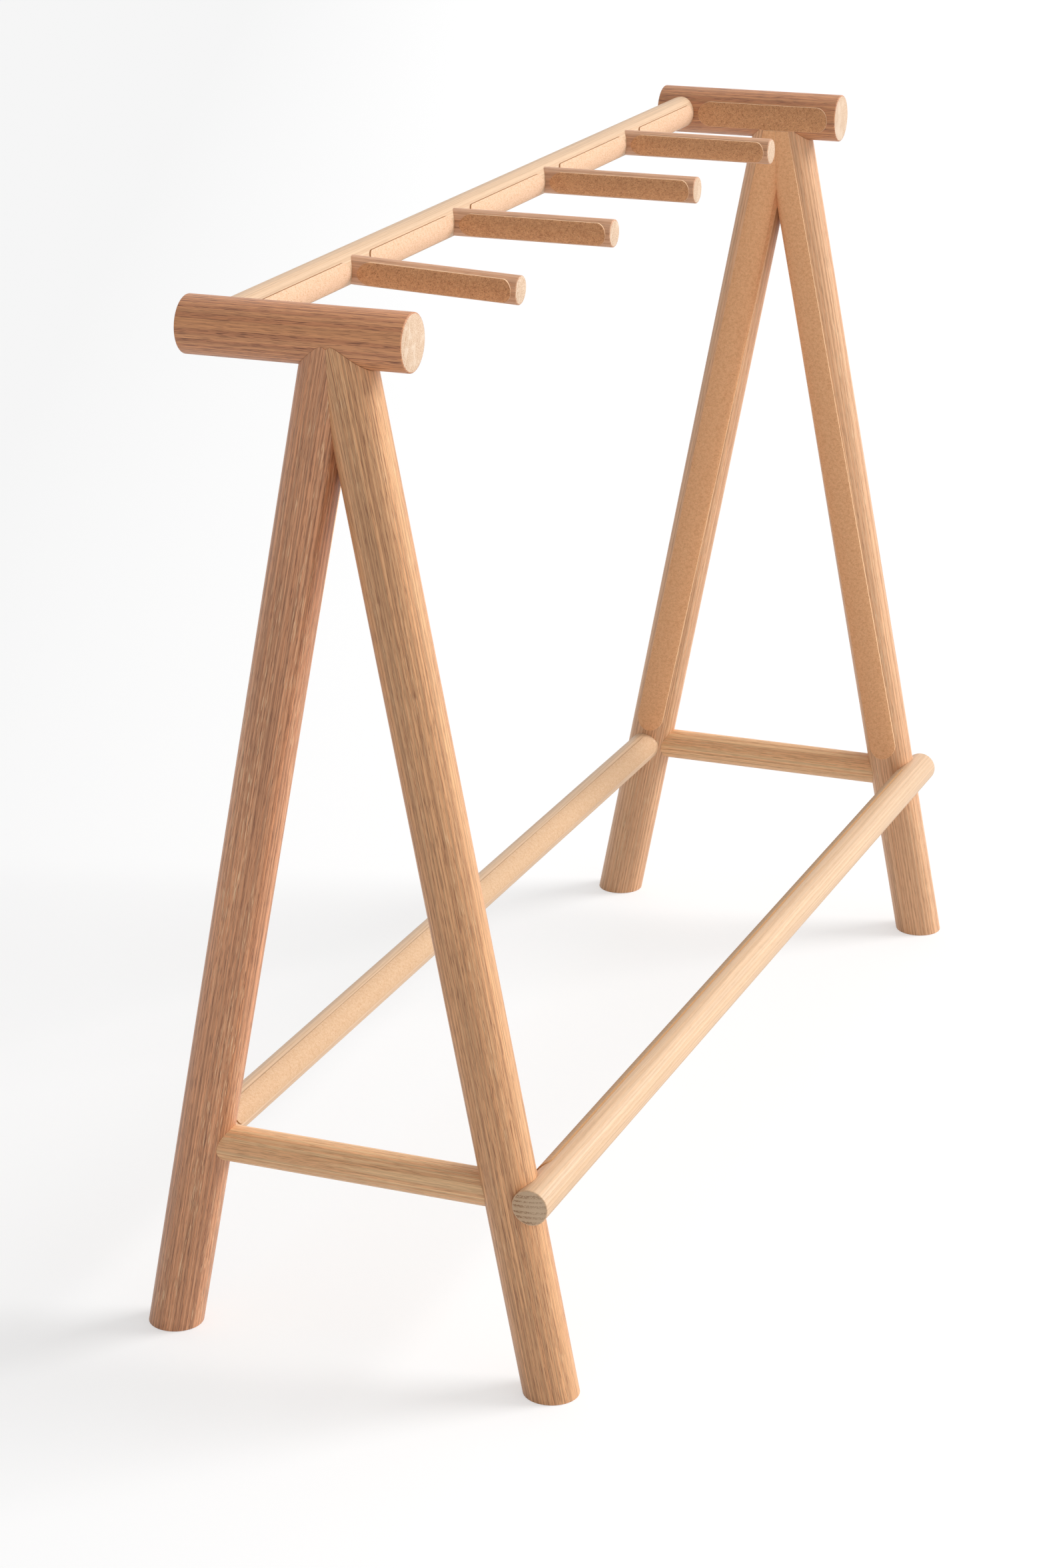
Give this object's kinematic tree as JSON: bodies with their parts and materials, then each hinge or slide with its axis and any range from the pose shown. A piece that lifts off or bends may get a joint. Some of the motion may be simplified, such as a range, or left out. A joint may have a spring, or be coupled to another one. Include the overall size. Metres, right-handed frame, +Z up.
{
  "type": "saddle rack",
  "caption": "Free-standing round-bar oak trestle for saddles: two A-shaped end frames, a top rail with side pegs, lower rails and thin cork lining strips.",
  "frame": {"origin": "on the floor, in the middle of the rack's footprint", "axes": "+X the way the pegs point, +Y from the front A-frame to the rear one, +Z up"},
  "size_m": [0.4042, 1.173, 0.921],
  "materials": {
    "oak_head": "satin oiled oak, darker",
    "oak_leg": "satin oiled oak",
    "oak_honey": "satin oiled oak, honey",
    "oak_light": "satin oiled oak, light",
    "dowel": "raw beech",
    "cork": "matt granulated cork sheet"
  },
  "bodies": {
    "root": {"head_bar_front": "oak_head", "head_bar_rear": "oak_head", "leg_front_left": "oak_leg", "leg_front_right": "oak_leg", "leg_rear_left": "oak_leg", "leg_rear_right": "oak_leg", "crossbar_front": "oak_honey", "crossbar_rear": "oak_honey", "top_rail": "oak_light", "lower_rail_left": "oak_light", "lower_rail_right": "oak_light", "peg_1": "oak_honey", "peg_2": "oak_honey", "peg_3": "oak_honey", "peg_4": "oak_honey", "apex_dowels_front": "dowel", "apex_dowels_rear": "dowel", "mitre_dowel_front": "dowel", "mitre_dowel_rear": "dowel", "rail_pin_front": "dowel", "rail_pin_rear": "dowel", "cork_head_front": "cork", "cork_head_rear": "cork", "cork_leg_front_left": "cork", "cork_leg_front_right": "cork", "cork_leg_rear_left": "cork", "cork_leg_rear_right": "cork", "cork_top_rail_1": "cork", "cork_top_rail_2": "cork", "cork_top_rail_3": "cork", "cork_top_rail_4": "cork", "cork_top_rail_5": "cork", "cork_peg_1_front": "cork", "cork_peg_1_rear": "cork", "cork_peg_2_front": "cork", "cork_peg_2_rear": "cork", "cork_peg_3_front": "cork", "cork_peg_3_rear": "cork", "cork_peg_4_front": "cork", "cork_peg_4_rear": "cork", "cork_lower_left": "cork", "cork_lower_right": "cork"}
  },
  "joints": []
}
